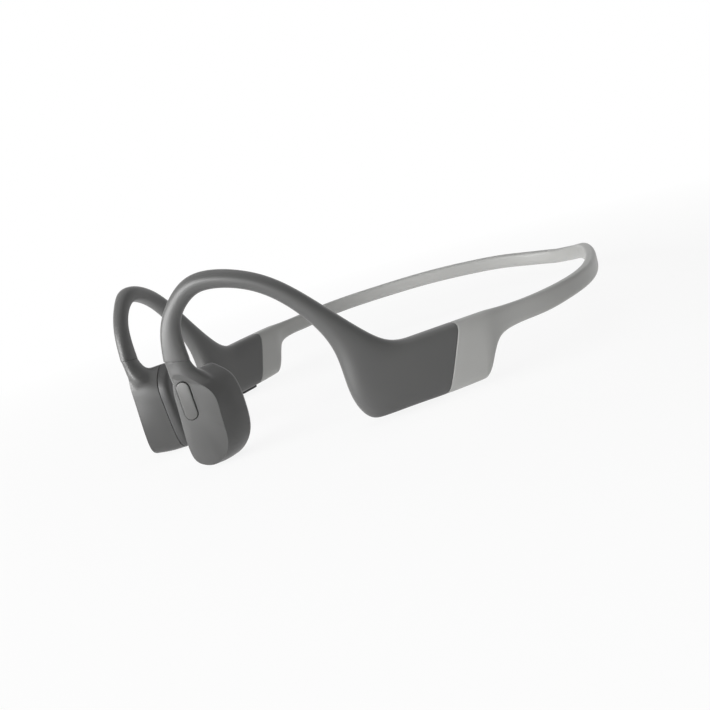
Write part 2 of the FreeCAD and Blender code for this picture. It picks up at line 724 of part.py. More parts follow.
def build():
    nodes = {}
    outer, inner = make_housing_shell()
    keys = [key_slot(s) for s in (VOLUME_UP_S, VOLUME_DOWN_S)]
    both = {
        "earhook_cover": make_earhook_cover(),
        "earhook_wire": HOOK_WIRE,
        "earhook_cable": HOOK_CABLE,
        "housing_frame": outer,
        "housing_lid": inner,
        "contact_pad": make_contact_pad(),
        "transducer_frame": make_transducer_frame(),
        "voice_coil": make_voice_coil(),
        "pole_plate": make_pole_plate(),
        "magnet": make_magnet(),
        "yoke": make_yoke(),
        "vibration_plate": make_vibration_plate(),
    }
    for name, shape in both.items():
        nodes["left_" + name] = shape
        nodes["right_" + name] = mirrored(shape)
    nodes["left_head_shell"] = make_head_shell(True)
    nodes["right_head_shell"] = mirrored(make_head_shell(False))
    nodes["neckband_cover"] = make_neckband_cover()
    nodes["neckband_wire"] = BAND_WIRE
    nodes["neckband_cable"] = BAND_CABLE
    nodes["multifunction_button"] = make_button()
    nodes["button_switch"] = make_button_switch()
    nodes["button_board"] = make_button_board()
    nodes["microphone"] = make_microphone()
    nodes["battery"] = make_battery()
    nodes["battery_protection_board"] = make_protection_board()
    nodes["main_board"] = mirrored(make_main_board())
    nodes["radio_shield"] = mirrored(make_radio_shield())
    nodes["volume_switches"] = mirrored(Part.makeCompound(make_volume_switches()))
    nodes["volume_up_button"] = mirrored(volume_key(VOLUME_UP_S))
    nodes["volume_down_button"] = mirrored(volume_key(VOLUME_DOWN_S))
    contacts, magnets = make_charge_contacts(), make_charge_magnets()
    light = make_status_light_window()
    nodes["charge_contacts"] = mirrored(Part.makeCompound(contacts))
    nodes["charge_magnets"] = mirrored(Part.makeCompound(magnets))
    nodes["status_light_window"] = mirrored(light)
    cuts = [mirrored(tool) for tool in keys + contacts + magnets + [light]]
    for name in ("right_housing_frame", "right_housing_lid", "right_earhook_cover"):
        nodes[name] = nodes[name].cut(cuts)
    nodes["right_earhook_cover"] = nodes["right_earhook_cover"].cut(mirrored(charge_recess()))
    return nodes


def export(nodes):
    """Stand the headset on z = 0 with its box centred over the origin."""
    box = FreeCAD.BoundBox()
    for shape in nodes.values():
        box.add(shape.optimalBoundingBox(True))
    move = Vec(0, -(box.YMin + box.YMax) / 2, -box.ZMin)
    os.makedirs("parts", exist_ok=True)
    for name, shape in sorted(nodes.items()):
        shape.translated(move).exportStep("parts/" + name + ".step")
    print("box", round(box.XLength, 1), round(box.YLength, 1), round(box.ZLength, 1), "moved", move)


if __name__ == "__main__":
    export(build())
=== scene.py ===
from math import cos, sin, radians, pi, hypot

import bmesh
import bpy
import numpy as np
from mathutils import Matrix, Vector


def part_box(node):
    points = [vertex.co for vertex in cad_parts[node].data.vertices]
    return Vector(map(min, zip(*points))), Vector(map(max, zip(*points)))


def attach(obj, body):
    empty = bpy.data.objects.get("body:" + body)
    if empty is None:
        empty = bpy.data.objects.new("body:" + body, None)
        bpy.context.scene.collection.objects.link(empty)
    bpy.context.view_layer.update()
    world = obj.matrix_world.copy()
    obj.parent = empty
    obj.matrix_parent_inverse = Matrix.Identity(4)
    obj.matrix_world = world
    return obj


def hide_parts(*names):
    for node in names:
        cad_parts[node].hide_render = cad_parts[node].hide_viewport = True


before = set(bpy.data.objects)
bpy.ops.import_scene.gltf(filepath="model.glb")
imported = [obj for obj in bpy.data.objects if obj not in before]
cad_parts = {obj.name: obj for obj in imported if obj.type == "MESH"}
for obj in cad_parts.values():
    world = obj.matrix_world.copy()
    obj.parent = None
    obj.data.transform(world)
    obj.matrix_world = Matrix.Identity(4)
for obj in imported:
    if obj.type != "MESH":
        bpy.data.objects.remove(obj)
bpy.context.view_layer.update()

# Bone conduction headphones. Lengths here are millimetres until a mesh is finished, in the part's own
# frame: +Z up, the wearer faces -Y and the wearer's left is +X. Each side hangs on a vertical sheet that
# bends in plan, and a place on it is (s, z): s runs along the plan from the front of the left ear hook.
MILLIMETRE = 0.001

PLAN = [(16.5, -76.5), (28.6, -63.1), (46.0, -42.3), (54.9, -24.5), (62.3, -4.9), (67.5, 12.0),
        (68.8, 36.4), (57.2, 61.2), (36.6, 85.0), (15.8, 103.0)]
BAND_REAR_Y = 108.6
# The rearmost face of the solid band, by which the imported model's own place is found.
SOLID_REAR_Y = 110.5

HOUSING_BOTTOM = 1.25
HOUSING_TOP = 20.3
HOUSING_FRONT_S = 49.8
HOUSING_REAR_S = 90.3
HOUSING_HALF = 4.3
REST_DEPTH = 0.15
SEAM_S = 76.2
SEAM_LEAN = 8.4

HOOK_HEIGHT = 52.35
TUBE_HEIGHT = 5.35
TUBE_HALF = 3.1
RING_S = 4.6
RING_Z = 32.85
RING_HEIGHT = 7.7
RING_HALF = 2.1
FRONT_HALF = 2.15

BAND_HEIGHT = 5.7
BAND_HALF = 1.9
BAND_SQUARENESS = 4.4
# The band is taller by this much next to a housing, and loses it over this length.
BAND_SWELL = 1.1
BAND_SWELL_LENGTH = 45.0
NOTCH_Z = 13.0
NOTCH_LENGTH = 22.0
# The height of the band's middle, at shares of the whole way round.
BAND_LINE = [(0.27, 17.05), (0.33, 17.55), (0.375, 17.7), (0.42, 16.9), (0.46, 15.2), (0.5, 13.2)]

HEAD_YAW = radians(43.0)
FACET_N = 1.0
SEAM_N = -7.4
PAD_N = -10.6
SHELL_WALL = 1.1
HEAD_BOW = 1.6
# Outlines as (t, z), and the neck's rings as (t, n, drop below the hook's end, half width, half depth).
FACET = [(-1.0, 27.6), (2.7, 26.0), (6.1, 23.3), (7.8, 19.5), (7.6, 13.5), (7.3, 7.4), (5.4, 3.2),
         (1.8, 0.9), (-2.2, 1.6), (-4.6, 5.2), (-4.5, 13.5), (-4.0, 20.2), (-3.5, 25.4)]
PAD = [(4.6, 28.4), (8.0, 27.2), (10.8, 24.5), (12.3, 20.3), (12.6, 15.0), (12.2, 8.6), (10.2, 3.6),
       (6.8, 0.7), (3.5, 0.0), (0.1, 1.8), (-1.6, 7.2), (-2.4, 16.0), (-1.6, 24.0)]
NECK = [(0.1, -0.3, 1.6, 3.9, 2.3), (0.2, -0.5, 3.0, 4.1, 2.6), (0.5, -0.9, 4.2, 4.6, 3.0),
        (1.0, -1.5, 5.4, 5.2, 3.5), (2.0, -2.2, 8.0, 6.0, 3.8)]

BUTTON_T = -0.6
BUTTON_Z = 21.0
BUTTON_LENGTH = 11.4
BUTTON_HALF = 1.95
BUTTON_PROUD = 0.4
BUTTON_GAP = 0.2

ROUND = 40
FINE_ROUND = 64
HEAD_ROUND = 96
LEFT, RIGHT = 1, -1


# ---- curves
def smooth_through(params, rows):
    """A natural cubic curve through rows of numbers, one row at each parameter."""
    rows = np.array(rows, float)
    n = len(rows)
    step = np.diff(params)
    system = np.eye(n)
    load = np.zeros_like(rows)
    for i in range(1, n - 1):
        system[i, i - 1:i + 2] = step[i - 1], 2 * (step[i - 1] + step[i]), step[i]
        load[i] = 6 * ((rows[i + 1] - rows[i]) / step[i] - (rows[i] - rows[i - 1]) / step[i - 1])
    bend = np.linalg.solve(system, load)

    def at(u):
        i = int(np.clip(np.searchsorted(params, u) - 1, 0, n - 2))
        a, b, h = params[i + 1] - u, u - params[i], step[i]
        return ((bend[i] * a ** 3 + bend[i + 1] * b ** 3) / (6 * h)
                + (rows[i] / h - bend[i] * h / 6) * a + (rows[i + 1] / h - bend[i + 1] * h / 6) * b)
    return at


def measured_plan():
    """Distances and places along the plan curve of both sides."""
    points = PLAN + [(0.0, BAND_REAR_Y)] + [(-x, y) for x, y in reversed(PLAN)]
    runs = [hypot(b[0] - a[0], b[1] - a[1]) for a, b in zip(points, points[1:])]
    params = np.concatenate(([0.0], np.cumsum(runs)))
    curve = smooth_through(params, points)
    places = np.array([curve(u) for u in np.linspace(0, params[-1], 1501)])
    walked = np.concatenate(([0.0], np.cumsum(np.linalg.norm(np.diff(places, axis=0), axis=1))))
    return walked, places


WALKED, PLACES = measured_plan()
LENGTH = WALKED[-1]


def plan_place(s):
    return np.array([np.interp(s, WALKED, PLACES[:, 0]), np.interp(s, WALKED, PLACES[:, 1])])


def sheet(s, z, out=0.0):
    """The point at (s, z), moved outwards from the sheet, and the sheet's direction there."""
    here = plan_place(s)
    along = plan_place(min(s + 0.2, LENGTH)) - plan_place(max(s - 0.2, 0.0))
    along = along / np.linalg.norm(along)
    point = Vector((here[0] + along[1] * out, here[1] - along[0] * out, z))
    return point, Vector((along[0], along[1], 0.0))


# ---- sections of a side: (s and z above, s and z below, half thickness, squareness)
def arch(s, z, tilt, height, half):
    ds, dz = cos(radians(tilt)) * height / 2, sin(radians(tilt)) * height / 2
    return (s + ds, z + dz, s - ds, z - dz, half, 2.2)


def side_knots():
    top, low, front, rear = HOUSING_TOP, HOUSING_BOTTOM, HOUSING_FRONT_S, HOUSING_REAR_S
    apex, half, floor = HOOK_HEIGHT, HOUSING_HALF, NOTCH_Z
    return [
        arch(RING_S, RING_Z, 170, RING_HEIGHT, RING_HALF),
        arch(6.3, apex - 9.3, 163, TUBE_HEIGHT + 0.3, FRONT_HALF),
        arch(12.2, apex - 2.2, 128, TUBE_HEIGHT - 0.1, FRONT_HALF + 0.2),
        arch(20.6, apex, 91, TUBE_HEIGHT, TUBE_HALF),
        arch(33.9, apex - 4.6, 52, TUBE_HEIGHT - 0.3, TUBE_HALF),
        arch(44.9, apex - 14.8, 30, TUBE_HEIGHT + 0.3, TUBE_HALF + 0.1),
        (front + 7.9, top + 6.8, front - 1.2, low + 22.4, half - 0.6, 2.4),
        (front + 14.2, top + 1.4, front - 0.3, low + 9.5, half - 0.1, 2.9),
        (front + 18.7, top + 0.1, front + 3.2, low + 0.8, half, 3.4),
        (front + 23.7, top, front + 11.7, low, half, 3.8),
        (SEAM_S + SEAM_LEAN, top, SEAM_S, low, half, 4.0),
        (rear - 0.2, top, rear - 4.6, low, half - 0.1, 4.0),
        (rear + 2.3, top, rear - 0.5, low + 0.9, half - 0.3, 3.8),
        (rear + 4.7, top, rear + 2.3, low + 5.1, half - 0.8, 3.5),
        (rear + 7.1, top - 0.2, rear + 4.6, floor - 2.5, half - 1.5, 3.4),
        (rear + 10.4, top - 0.4, rear + 8.4, floor - 0.25, BAND_HALF + 0.2, 3.8),
    ]


# Knots by number: the hook's end at the ring, the seam of the two covers, and the notch behind the housing.
RING_KNOT, SEAM_KNOT, NOTCH_KNOT = 0.0, 10.0, 13
KNOTS = side_knots()
SIDE = smooth_through(list(range(len(KNOTS))), KNOTS)


def band_heights():
    """The height of the band's middle at a distance along the plan."""
    start = HOUSING_REAR_S + NOTCH_LENGTH
    notch_z = (HOUSING_TOP + NOTCH_Z) / 2 - 0.1
    line = [(start - 12.0, notch_z), (start, notch_z)]
    line += [(LENGTH * share, z) for share, z in BAND_LINE]
    line += [(LENGTH - s, z) for s, z in reversed(line[:-1])]
    curve = smooth_through([s for s, z in line], [(z,) for s, z in line])
    return lambda s: float(curve(s)[0])


BAND_Z = band_heights()


def around(row, turn, inset=0.0):
    """The point at a turn around a section, 0 above and a quarter turn outwards."""
    top_s, top_z, low_s, low_z, half, square = row
    a, b = sheet(top_s, top_z)[0], sheet(low_s, low_z)[0]
    along = sheet((top_s + low_s) / 2, 0)[1]
    major = (a - b) / 2
    unit = major.normalized()
    minor = Vector((along.y, -along.x, 0.0))
    minor = (minor - unit * minor.dot(unit)).normalized()
    c, s = cos(turn), sin(turn)
    share = (abs(c) ** square + abs(s) ** square) ** (-1 / square)
    reach = unit * ((major.length - inset) * c * share)
    return (a + b) / 2 + reach + minor * ((half - inset) * s * share)


# ---- meshes
def skin(rings, sides=ROUND):
    """A closed skin over rings, each a function from a turn to a place."""
    bm = bmesh.new()
    bmesh.ops.create_grid(bm, x_segments=sides, y_segments=len(rings) - 1, size=0.5)
    for v in bm.verts:
        ring = rings[round((v.co.y + 0.5) * (len(rings) - 1))]
        v.co = ring(2 * pi * round((v.co.x + 0.5) * sides) / sides)
    bmesh.ops.remove_doubles(bm, verts=bm.verts, dist=1e-5)
    ends = [e for e in bm.edges if e.is_boundary]
    bmesh.ops.holes_fill(bm, edges=ends, sides=0)
    bmesh.ops.recalc_face_normals(bm, faces=bm.faces)
    return bm


def cap_rings(bm, width, rounds):
    """Insets the flat ends, so that a subdivided end keeps its edge and closes evenly."""
    for _ in range(rounds):
        ends = [f for f in bm.faces if len(f.verts) > 8]
        bmesh.ops.inset_region(bm, faces=ends, thickness=width, use_even_offset=False)


def place_of_part():
    """Where the part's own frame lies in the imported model."""
    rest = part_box("left_earhook_cover")[0].z / MILLIMETRE - (HOUSING_BOTTOM + REST_DEPTH)
    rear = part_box("neckband_cover")[1].y / MILLIMETRE - SOLID_REAR_Y
    return Vector((0.0, rear, rest))


MOVE = place_of_part()


def to_row(bm, side=LEFT):
    """Mirrors to the right side if asked, and turns millimetres of the part into metres of the row."""
    bmesh.ops.transform(bm, matrix=Matrix.Diagonal((side, 1, 1, 1)), verts=bm.verts)
    bmesh.ops.translate(bm, vec=MOVE, verts=bm.verts)
    bmesh.ops.scale(bm, vec=(MILLIMETRE,) * 3, verts=bm.verts)
    bmesh.ops.recalc_face_normals(bm, faces=bm.faces)


SHARP_ANGLE = radians(40)


def finish_piece(bm, name, material, body, nodes, levels=0):
    mesh = bpy.data.meshes.new(name)
    bm.to_mesh(mesh)
    bm.free()
    piece = bpy.data.objects.new(name, mesh)
    bpy.context.scene.collection.objects.link(piece)
    mesh.shade_smooth()
    if levels:
        subdivision = piece.modifiers.new("smooth", "SUBSURF")
        subdivision.levels = subdivision.render_levels = levels
    else:
        mesh.set_sharp_from_angle(angle=SHARP_ANGLE)
    mesh.materials.append(material)
    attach(piece, body)
    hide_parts(*nodes)
    return piece


# ---- materials
def colour(text):
    """A written sRGB colour as linear values."""
    parts = [int(text[i:i + 2], 16) / 255 for i in (1, 3, 5)]
    return tuple(c / 12.92 if c <= 0.04045 else ((c + 0.055) / 1.055) ** 2.4 for c in parts) + (1.0,)


def add_node(material, kind, values=None, **settings):
    node = material.node_tree.nodes.new(kind)
    for key, value in settings.items():
        setattr(node, key, value)
    for key, value in (values or {}).items():
        node.inputs[key].default_value = value
    return node


# Noise scales are turns per metre. The mottling is about 11 mm across. Real grain on such parts is mostly
# finer than what is drawn below, 0.15 to 0.7 mm, which is as coarse as it needs to catch the light.
CLOUD_SCALE = 90.0
GRAIN_HEIGHT = 0.00005
GLOSS_SPREAD = 0.05


def moulded(name, tone, shade, roughness, grain, depth, metallic=0.0):
    """A matte moulded surface: spark-textured grain, faint mottling and slightly uneven gloss."""
    material = bpy.data.materials.new(name)
    material.use_nodes = True
    nodes, links = material.node_tree.nodes, material.node_tree.links
    shader = nodes["Principled BSDF"]
    shader.inputs["Metallic"].default_value = metallic
    shader.inputs["Specular IOR Level"].default_value = 0.35
    place = add_node(material, "ShaderNodeTexCoord")
    cloud = add_node(material, "ShaderNodeTexNoise", {"Scale": CLOUD_SCALE, "Detail": 3.0})
    fine = add_node(material, "ShaderNodeTexNoise", {"Scale": grain, "Detail": 2.0})
    mix = add_node(material, "ShaderNodeMix", data_type="RGBA")
    mix.inputs[6].default_value = colour(tone)
    mix.inputs[7].default_value = colour(shade)
    gloss = add_node(material, "ShaderNodeMapRange",
                     {"To Min": roughness - GLOSS_SPREAD, "To Max": roughness + GLOSS_SPREAD})
    bump = add_node(material, "ShaderNodeBump", {"Strength": depth, "Distance": GRAIN_HEIGHT})
    links.new(place.outputs["Object"], cloud.inputs["Vector"])
    links.new(place.outputs["Object"], fine.inputs["Vector"])
    links.new(cloud.outputs["Fac"], mix.inputs[0])
    links.new(mix.outputs[2], shader.inputs["Base Color"])
    links.new(fine.outputs["Fac"], gloss.inputs["Value"])
    links.new(gloss.outputs["Result"], shader.inputs["Roughness"])
    links.new(fine.outputs["Fac"], bump.inputs["Height"])
    links.new(bump.outputs["Normal"], shader.inputs["Normal"])
    return material


# Liquid silicone rubber moulded over the frames: soft, matt and even, with a broad sheen.
DARK_SILICONE = moulded("dark_silicone_overmould", "#4d4d4c", "#4a4a4a", 0.40, 5200.0, 0.2)
LIGHT_SILICONE = moulded("light_silicone_overmould", "#989896", "#949492", 0.42, 5200.0, 0.2)
# Moulded plastic: the same grey as the silicone, with a slightly tighter sheen.
DARK_SHELL = moulded("dark_moulded_shell", "#4d4d4c", "#4a4a4a", 0.36, 6500.0, 0.15)
# Skin-side silicone: darker and duller than the covers.
PAD_SILICONE = moulded("contact_pad_silicone", "#3e3e3e", "#3a3a3a", 0.5, 5200.0, 0.3)
# Moulded ABS: a shade lighter than the shell, with the tightest sheen of the outer mouldings.
BUTTON_PLASTIC = moulded("button_moulded_plastic", "#555554", "#525251", 0.34, 6500.0, 0.15)
# Rubber keys, the frame under the covers and the cable jackets: near black and dull.
KEY_RUBBER = moulded("volume_key_rubber", "#2c2c2c", "#292929", 0.55, 5200.0, 0.3)
FRAME_PLASTIC = moulded("black_moulded_frame", "#262627", "#202021", 0.5, 3000.0, 0.4)
CABLE_JACKET = moulded("black_cable_jacket", "#1d1d1f", "#18181a", 0.45, 2500.0, 0.3)
# Metals of the inner parts, drawn, rolled, wound or plated: bright, with their tint in the reflection.
SPRING_WIRE = moulded("drawn_titanium_wire", "#a09c96", "#8f8b86", 0.35, 1800.0, 0.3, metallic=1.0)
SOFT_IRON = moulded("zinc_plated_soft_iron", "#9a9a9c", "#8b8b8d", 0.35, 2200.0, 0.3, metallic=1.0)
SPRING_STEEL = moulded("rolled_spring_steel", "#b0b0ae", "#a3a3a1", 0.28, 2600.0, 0.2, metallic=1.0)
NICKEL = moulded("nickel_plated_magnet", "#bcbcc0", "#b0b0b4", 0.2, 2600.0, 0.1, metallic=1.0)
COPPER = moulded("enamelled_copper_winding", "#b0642f", "#9a5426", 0.3, 3800.0, 0.6, metallic=1.0)
GOLD = moulded("gold_plated_contact", "#d8b060", "#cca455", 0.25, 2600.0, 0.1, metallic=1.0)
TINNED_STEEL = moulded("tinned_steel_can", "#b6b6b6", "#a9a9a9", 0.3, 2200.0, 0.2, metallic=1.0)
POUCH_FOIL = moulded("pouch_cell_foil", "#b4b6ba", "#a6a8ac", 0.38, 1600.0, 0.5, metallic=0.8)
# Glass-epoxy board under green solder mask, and the frosted polycarbonate of the status light.
LAMINATE = moulded("solder_masked_laminate", "#17402a", "#123722", 0.35, 1400.0, 0.5)
FROSTED = moulded("frosted_light_pipe", "#e2e2e0", "#dadad8", 0.4, 3200.0, 0.2)


# ---- ear hooks and housings
SEAM_REACH = 4.0
SEAM_PULL = 0.8
SEAM_CORNER = 0.84
LIP = 0.22
# Rings next to the seam, as (distance from it, inset): they close in over a rounded lip.
SEAM_RINGS = ((0.0, LIP), (0.08, 0.07), (0.3, 0.0), (0.6, 0.0), (1.2, 0.0), (2.2, 0.0), (3.6, 0.0))
HOOK_RINGS = 45
HOOK_LAST_KNOT = 9.55


def parted(row, turn, inset, gap):
    """A place near the seam of dark and light covers, whose line bends forwards at top and bottom."""
    place = around(row, turn, inset)
    top_s, top_z, low_s, low_z = row[:4]
    level = abs((place.z - (top_z + low_z) / 2) / ((top_z - low_z) / 2))
    bend = max(0.0, (level - SEAM_CORNER) / (1 - SEAM_CORNER)) ** 2
    fade = max(0.0, 1 - gap / SEAM_REACH) ** 2
    along = sheet((top_s + low_s) / 2, 0)[1]
    return place - along * (SEAM_PULL * bend * fade)


def moved_along(row, distance):
    return (row[0] + distance, row[1], row[2] + distance) + tuple(row[3:])


def flat_underside(bm):
    """The housings stand on flat faces."""
    for v in bm.verts:
        v.co.z = max(v.co.z, HOUSING_BOTTOM + REST_DEPTH)


def hook_rings():
    rings = [lambda turn: around(SIDE(RING_KNOT), turn, LIP),
             lambda turn: around(SIDE(0.004), turn, 0.06),
             lambda turn: around(SIDE(0.016), turn)]
    for i in range(1, HOOK_RINGS + 1):
        rings.append(lambda turn, p=HOOK_LAST_KNOT * i / HOOK_RINGS: around(SIDE(p), turn))
    end = SIDE(SEAM_KNOT)
    for gap, inset in reversed(SEAM_RINGS):
        rings.append(lambda turn, g=gap, i=inset: parted(moved_along(end, -g), turn, i, g))
    return rings


CAP_INSET = 0.5


def make_ear_hook(side, name, body):
    bm = skin(hook_rings())
    cap_rings(bm, CAP_INSET, 2)
    flat_underside(bm)
    to_row(bm, side)
    return finish_piece(bm, name + "_ear_hook", DARK_SILICONE, body, [name + "_earhook_cover"],
                        levels=2)


# ---- neckband
HALF_BAND_RINGS = 46


def band_row(s):
    z = BAND_Z(s)
    reach = (s - HOUSING_REAR_S - 10.0) / BAND_SWELL_LENGTH
    half = (BAND_HEIGHT + BAND_SWELL * max(0.0, 1 - reach) ** 2) / 2
    return (s, z + half, s, z - half, BAND_HALF, BAND_SQUARENESS)


def half_band_rows():
    """Sections from the notch to the middle of the band, with their parameters."""
    start = HOUSING_REAR_S + NOTCH_LENGTH
    knots = KNOTS[NOTCH_KNOT:] + [band_row(start + i * (LENGTH / 2 - start) / 10) for i in range(11)]
    params = [(row[0] + row[2]) / 2 for row in knots]
    curve = smooth_through(params, knots)
    span = (params[-1] - params[0]) / HALF_BAND_RINGS
    return [curve(params[0] + span * i) for i in range(1, HALF_BAND_RINGS + 1)]


def neckband_rings():
    end = SIDE(SEAM_KNOT)
    lips = [lambda turn, g=gap, i=inset: parted(moved_along(end, g), turn, i, g)
            for gap, inset in SEAM_RINGS]
    rows = [SIDE(SEAM_KNOT + 3.0 * i / 14) for i in range(7, 15)] + half_band_rows()
    left = lips + [lambda turn, r=row: around(r, turn) for row in rows]

    def opposite(ring):
        def place(turn):
            point = ring(turn)
            return Vector((-point.x, point.y, point.z))
        return place
    return left + [opposite(ring) for ring in reversed(left[:-1])]


def make_neckband():
    bm = skin(neckband_rings())
    cap_rings(bm, CAP_INSET, 2)
    flat_underside(bm)
    to_row(bm)
    return finish_piece(bm, "neckband", LIGHT_SILICONE, "headset", ["neckband_cover"],
                        levels=2)


# ---- transducer heads: t runs backwards and n outwards from the end of the ear hook's tube
def head_place(t, n, z):
    origin = sheet(RING_S, 0)[0]
    back = Vector((sin(HEAD_YAW), cos(HEAD_YAW), 0.0))
    outward = Vector((cos(HEAD_YAW), -sin(HEAD_YAW), 0.0))
    return origin + back * t + outward * n + Vector((0.0, 0.0, z))


def loop_through(points):
    """A closed smooth curve through points, from a turn to a point."""
    count = len(points)
    wrapped = points[-4:] + points + points[:5]
    curve = smooth_through([i - 4 for i in range(len(wrapped))], wrapped)
    return lambda turn: curve(count * (turn / (2 * pi)))


FACET_LOOP = loop_through(FACET)
PAD_LOOP = loop_through(PAD)
PAD_MIDDLE = np.mean(PAD, axis=0)
FACET_MIDDLE = np.mean(FACET, axis=0)


def head_ring(n, inset=0.0):
    """The head's outline at a depth, bowed a little outwards between pad seam and facet."""
    share = (n - SEAM_N) / (FACET_N - SEAM_N)
    bow = HEAD_BOW * share * (1 - share) if 0 < share < 1 else 0.0

    def place(turn):
        point = PAD_LOOP(turn) * (1 - share) + FACET_LOOP(turn) * share
        middle = PAD_MIDDLE * (1 - share) + FACET_MIDDLE * share
        reach = point - middle
        point = middle + reach * (1 + (bow - inset) / np.linalg.norm(reach))
        return head_place(point[0], n, point[1])
    return place


def neck_ring(t, n, drop, width, depth):
    def place(turn):
        return head_place(t - width * cos(turn), n + depth * sin(turn), RING_Z - drop)
    return place


def neck_rings():
    above = [lambda turn, p=p: around(SIDE(p), turn) for p in (0.30, 0.2, 0.1, 0.0)]
    return above + [neck_ring(*row) for row in NECK]


def joined(first, second):
    """Puts the second mesh into the first."""
    scratch = bpy.data.meshes.new("scratch")
    second.to_mesh(scratch)
    second.free()
    first.from_mesh(scratch)
    bpy.data.meshes.remove(scratch)
    return first


def with_modifiers(bm, *rows):
    """The mesh after live modifiers, given as (type, settings)."""
    mesh = bpy.data.meshes.new("scratch")
    bm.to_mesh(mesh)
    bm.free()
    carrier = bpy.data.objects.new("scratch", mesh)
    bpy.context.scene.collection.objects.link(carrier)
    for kind, settings in rows:
        modifier = carrier.modifiers.new(kind, kind)
        for key, value in settings.items():
            setattr(modifier, key, value)
    graph = bpy.context.evaluated_depsgraph_get()
    out = bmesh.new()
    out.from_object(carrier, graph)
    bpy.data.objects.remove(carrier)
    bpy.data.meshes.remove(mesh)
    return out


def cut_away(bm, cutter):
    """Subtracts one closed mesh from another."""
    mesh = bpy.data.meshes.new("cutter")
    cutter.to_mesh(mesh)
    cutter.free()
    tool = bpy.data.objects.new("cutter", mesh)
    bpy.context.scene.collection.objects.link(tool)
    out = with_modifiers(bm, ("BOOLEAN", {"operation": "DIFFERENCE", "solver": "EXACT", "object": tool}))
    bpy.data.objects.remove(tool)
    bpy.data.meshes.remove(mesh)
    return out


def slice_off(bm, point, normal):
    """Removes what lies beyond a plane and closes the cut."""
    geometry = list(bm.verts) + list(bm.edges) + list(bm.faces)
    bmesh.ops.bisect_plane(bm, geom=geometry, dist=1e-5, plane_co=point, plane_no=normal, clear_outer=True)
    rim = [e for e in bm.edges if e.is_boundary]
    bmesh.ops.holes_fill(bm, edges=rim, sides=0)


# The line where the flat facet meets the brow under the neck, as two (t, z), and how far the brow comes
# outwards for each millimetre up.
BROW = ((-2.0, 27.9), (6.1, 23.5))
BROW_SLOPE = 0.5
WEDGE_DEPTH = 12.0


def facet_wedge():
    """The space in front of the facet, and in front of the brow that rises from it to the neck."""
    (t0, z0), (t1, z1) = BROW
    t_far, z_far = t0 - 3 * (t1 - t0), z0 - 3 * (z1 - z0)
    t_near, z_near = t1 + 3 * (t1 - t0), z1 + 3 * (z1 - z0)
    rise = Vector((z0 - z1, t1 - t0)).normalized() * WEDGE_DEPTH
    rows = [(t_far, z_far), (t_near, z_near)]
    front = FACET_N + WEDGE_DEPTH
    corners = []
    for t, z in rows:
        corners.append([head_place(t - rise.x * 4, FACET_N, z - rise.y * 4), head_place(t, FACET_N, z),
                        head_place(t + rise.x, FACET_N + WEDGE_DEPTH * BROW_SLOPE, z + rise.y),
                        head_place(t + rise.x, front, z + rise.y),
                        head_place(t - rise.x * 4, front, z - rise.y * 4)])
    bm = bmesh.new()
    ends = [[bm.verts.new(place) for place in row] for row in corners]
    bm.faces.new(ends[0])
    bm.faces.new(ends[1])
    for i in range(5):
        j = (i + 1) % 5
        bm.faces.new((ends[0][i], ends[0][j], ends[1][j], ends[1][i]))
    bmesh.ops.recalc_face_normals(bm, faces=bm.faces)
    return bm


VOXEL = 0.3
BLEND_ROUNDS = 40
BLEND_BELOW, BLEND_ABOVE = 13.0, 2.0
OVERALL_ROUNDS = 6
EDGE_ROUND = 0.16
EDGE_ANGLE = radians(12)
# A face with more corners than this is one of the flat cuts.
CUT_CORNERS = 40


def blended_head():
    """Neck and head grown together, then cut flat at the facet, the pad and the ring."""
    depth = FACET_N - SEAM_N + 2.4
    body = skin([head_ring(SEAM_N - 1.2 + depth * i / 12) for i in range(13)], HEAD_ROUND)
    bm = joined(body, skin(neck_rings(), FINE_ROUND))
    bm = with_modifiers(bm, ("REMESH", {"mode": "VOXEL", "voxel_size": VOXEL}))
    every_way = {"use_axis_x": True, "use_axis_y": True, "use_axis_z": True}
    for _ in range(BLEND_ROUNDS):
        soft = [v for v in bm.verts if RING_Z - BLEND_BELOW < v.co.z < RING_Z + BLEND_ABOVE]
        bmesh.ops.smooth_vert(bm, verts=soft, factor=0.5, **every_way)
    for _ in range(OVERALL_ROUNDS):
        bmesh.ops.smooth_vert(bm, verts=bm.verts, factor=0.5, **every_way)
    outward = head_place(0, 1, 0) - head_place(0, 0, 0)
    ring = [around(SIDE(0.0), turn) for turn in (0.0, 2.1, 4.2)]
    up = (ring[1] - ring[0]).cross(ring[2] - ring[0]).normalized()
    up = up if up.z > 0 else -up
    slice_off(bm, ring[0] - up * 0.02, up)
    slice_off(bm, head_place(0, SEAM_N, 0), -outward)
    bmesh.ops.recalc_face_normals(bm, faces=bm.faces)
    bm = cut_away(bm, facet_wedge())
    bmesh.ops.remove_doubles(bm, verts=bm.verts, dist=0.02)
    rims = [e for e in bm.edges if len(e.link_faces) == 2
            and any(len(f.verts) > CUT_CORNERS for f in e.link_faces)
            and e.calc_face_angle(0) > EDGE_ANGLE]
    bmesh.ops.bevel(bm, geom=rims, offset=EDGE_ROUND, offset_type="OFFSET", segments=2, profile=0.5,
                    affect="EDGES", material=-1, clamp_overlap=True)
    return bm


